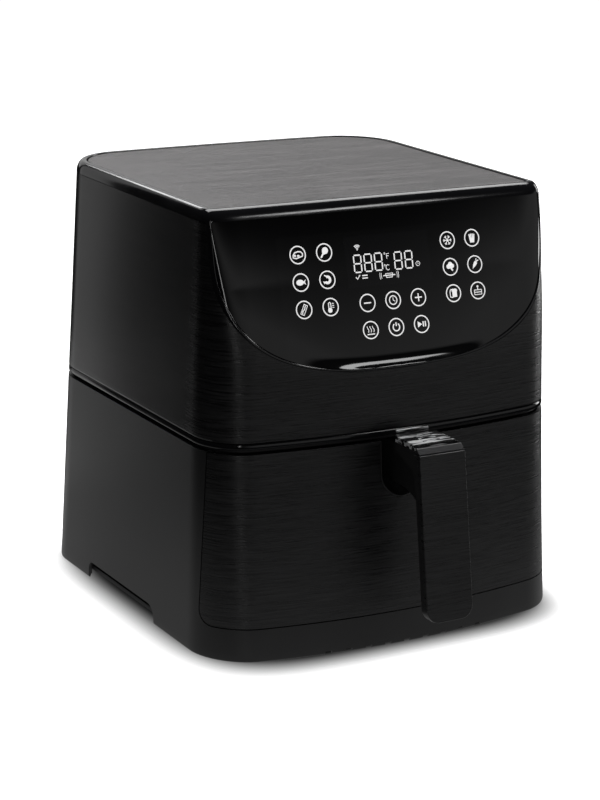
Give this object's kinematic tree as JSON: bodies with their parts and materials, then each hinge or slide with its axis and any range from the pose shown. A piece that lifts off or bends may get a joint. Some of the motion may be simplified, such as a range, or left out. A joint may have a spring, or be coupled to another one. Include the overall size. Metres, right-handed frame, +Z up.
{
  "type": "air fryer",
  "caption": "Basket air fryer with tapered black housing, slanted touch panel, pull-out drawer holding a lift-out basket, blade handle with clear button guard, heater, fans and motor inside.",
  "frame": {"origin": "on the table, under the middle of the object's whole box, handle included", "axes": "+Z up, front of the fryer (panel, drawer and handle) towards -Y, +X to the right when seen from the front"},
  "size_m": [0.3008, 0.3679, 0.322],
  "materials": {
    "brushed_black": "satin black with fine horizontal brushing",
    "satin_black": "fine satin moulded black",
    "gloss_black": "polished piano black",
    "dark_moulding": "matt black, hardly lit",
    "top_plate_brushed": "dark grey brushed plate",
    "panel_glass": "glossy black touch panel with white key marks",
    "clear_plastic": "clear moulded plastic",
    "nonstick_coat": "dark speckled non-stick coating",
    "sheet_steel": "plain rolled sheet steel",
    "heater_tube": "heat-stained tube",
    "rubber": "matt black rubber",
    "circuit_board": "green lacquered board",
    "motor_steel": "pressed steel stack and cover",
    "grey_trim": "pale grey bevelled trim",
    "red_part": "dull red moulded part"
  },
  "bodies": {
    "housing": {"lower_housing": "satin_black", "waist_collar": "dark_moulding", "waist_band": "gloss_black", "upper_housing": "brushed_black", "panel_bezel": "gloss_black", "control_panel": "panel_glass", "top_rim": "gloss_black", "top_plate": "top_plate_brushed", "display_module": "dark_moulding", "touch_board": "circuit_board", "power_board": "circuit_board", "cooking_chamber": "sheet_steel", "bay_frame": "dark_moulding", "left_rail": "sheet_steel", "right_rail": "sheet_steel", "heating_element": "heater_tube", "heat_reflector": "sheet_steel", "temperature_probe": "sheet_steel", "thermal_fuse": "red_part", "rear_grille": "dark_moulding", "cord_gland": "rubber", "door_switch": "dark_moulding", "base_plate": "dark_moulding", "foot_front_left": "rubber", "foot_front_right": "rubber", "foot_back_left": "rubber", "foot_back_right": "rubber", "base_screw_1": "sheet_steel", "base_screw_2": "sheet_steel", "base_screw_3": "sheet_steel", "base_screw_4": "sheet_steel", "motor_body": "motor_steel", "motor_bracket": "sheet_steel"},
    "drawer": {"drawer_front": "brushed_black", "drawer_backing": "dark_moulding", "recess_cup": "satin_black", "outer_basket": "nonstick_coat", "drawer_screw_left": "sheet_steel", "drawer_screw_right": "sheet_steel", "inner_basket": "nonstick_coat", "basket_bumper_front_left": "rubber", "basket_bumper_front_right": "rubber", "basket_bumper_back_left": "rubber", "basket_bumper_back_right": "rubber", "handle_front": "brushed_black", "handle_back": "satin_black", "handle_cap": "grey_trim", "basket_bracket": "sheet_steel", "handle_screw_left": "sheet_steel", "handle_screw_right": "sheet_steel", "button_spring": "sheet_steel"},
    "fan_set": {"hot_air_fan": "sheet_steel", "cooling_fan": "dark_moulding", "motor_shaft": "sheet_steel", "fan_nut": "sheet_steel"},
    "guard": {"button_guard": "clear_plastic"},
    "button": {"release_button": "satin_black"},
    "latch": {"latch_lever": "sheet_steel"},
    "plunger": {"switch_plunger": "red_part"}
  },
  "joints": [
    {"name": "drawer_slide", "type": "slide", "parent": "housing", "child": "drawer", "axis": [0, -1, 0], "range_m": [0, 0.235]},
    {"name": "guard_slide", "type": "slide", "parent": "drawer", "child": "guard", "axis": [0, 1, 0], "range_m": [0, 0.012]},
    {"name": "button_press", "type": "slide", "parent": "drawer", "child": "button", "axis": [0, 0, -1], "range_m": [0, 0.003], "stiffness_N_per_m": 400, "deforming": ["button_spring"]},
    {"name": "latch_tip", "type": "hinge", "parent": "drawer", "child": "latch", "pos_m": [0, -0.113, 0.1438], "axis": [1, 0, 0], "range_deg": [0, 6]},
    {"name": "switch_travel", "type": "slide", "parent": "housing", "child": "plunger", "axis": [0, 1, 0], "range_m": [0, 0.0015], "stiffness_N_per_m": 300},
    {"name": "fan_spin", "type": "hinge", "parent": "housing", "child": "fan_set", "pos_m": [0, 0.035, 0.19], "axis": [0, 0, 1], "continuous": true}
  ],
  "couplings": [
    {"joint": "latch_tip", "follows": "button_press", "rad_per_m": 32}
  ]
}
